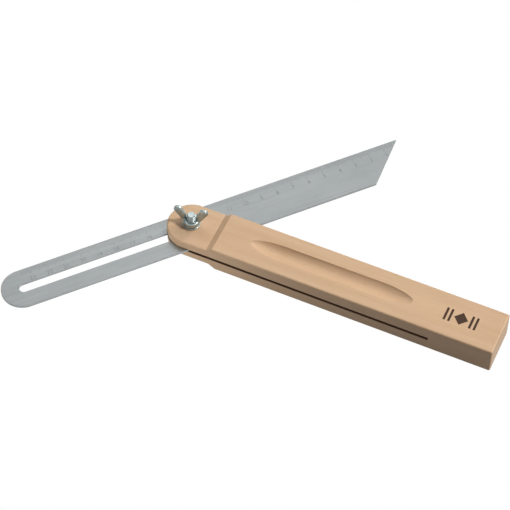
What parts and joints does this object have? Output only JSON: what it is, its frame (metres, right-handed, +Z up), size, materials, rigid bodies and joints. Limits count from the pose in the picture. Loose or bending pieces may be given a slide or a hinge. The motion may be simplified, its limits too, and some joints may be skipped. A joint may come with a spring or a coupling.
{
  "type": "sliding bevel",
  "caption": "Sliding bevel: slotted steel ruler blade with a mitred point, clamped by a wing nut in the kerf of a wooden stock, to set and copy any angle.",
  "frame": {"origin": "on the stock's underside, on its centreline, 100 mm from the pivot's axis towards the tail", "axes": "+X along the stock from the pivot to its square tail, +Y the side that the blade's point leans to, +Z up through the wing nut"},
  "size_m": [0.2678, 0.1974, 0.0296],
  "materials": {
    "beech": "satin sealed beech, long grain along the stock",
    "blade_steel": "brushed",
    "zinc_plate": "bright zinc plate"
  },
  "bodies": {
    "stock": {"stock": "beech"},
    "bolt": {"clamp_bolt": "zinc_plate"},
    "blade": {"blade": "blade_steel"},
    "washer": {"washer": "zinc_plate"},
    "nut": {"wing_nut": "zinc_plate"}
  },
  "joints": [
    {"name": "blade_swing", "type": "hinge", "parent": "stock", "child": "bolt", "pos_m": [-0.1, 0, 0.009], "axis": [0, 0, 1], "continuous": true},
    {"name": "blade_slide", "type": "slide", "parent": "bolt", "child": "blade", "axis": [0.6691, 0.7431, 0], "range_m": [-0.013, 0.1]},
    {"name": "nut_turn", "type": "hinge", "parent": "bolt", "child": "washer", "pos_m": [-0.1, 0, 0.016], "axis": [0, 0, 1], "range_deg": [0, 1800]},
    {"name": "nut_lift", "type": "slide", "parent": "washer", "child": "nut", "axis": [0, 0, 1], "range_m": [0, 0.004]}
  ],
  "couplings": [
    {"joint": "nut_lift", "follows": "nut_turn", "m_per_rad": 0.00012732}
  ]
}
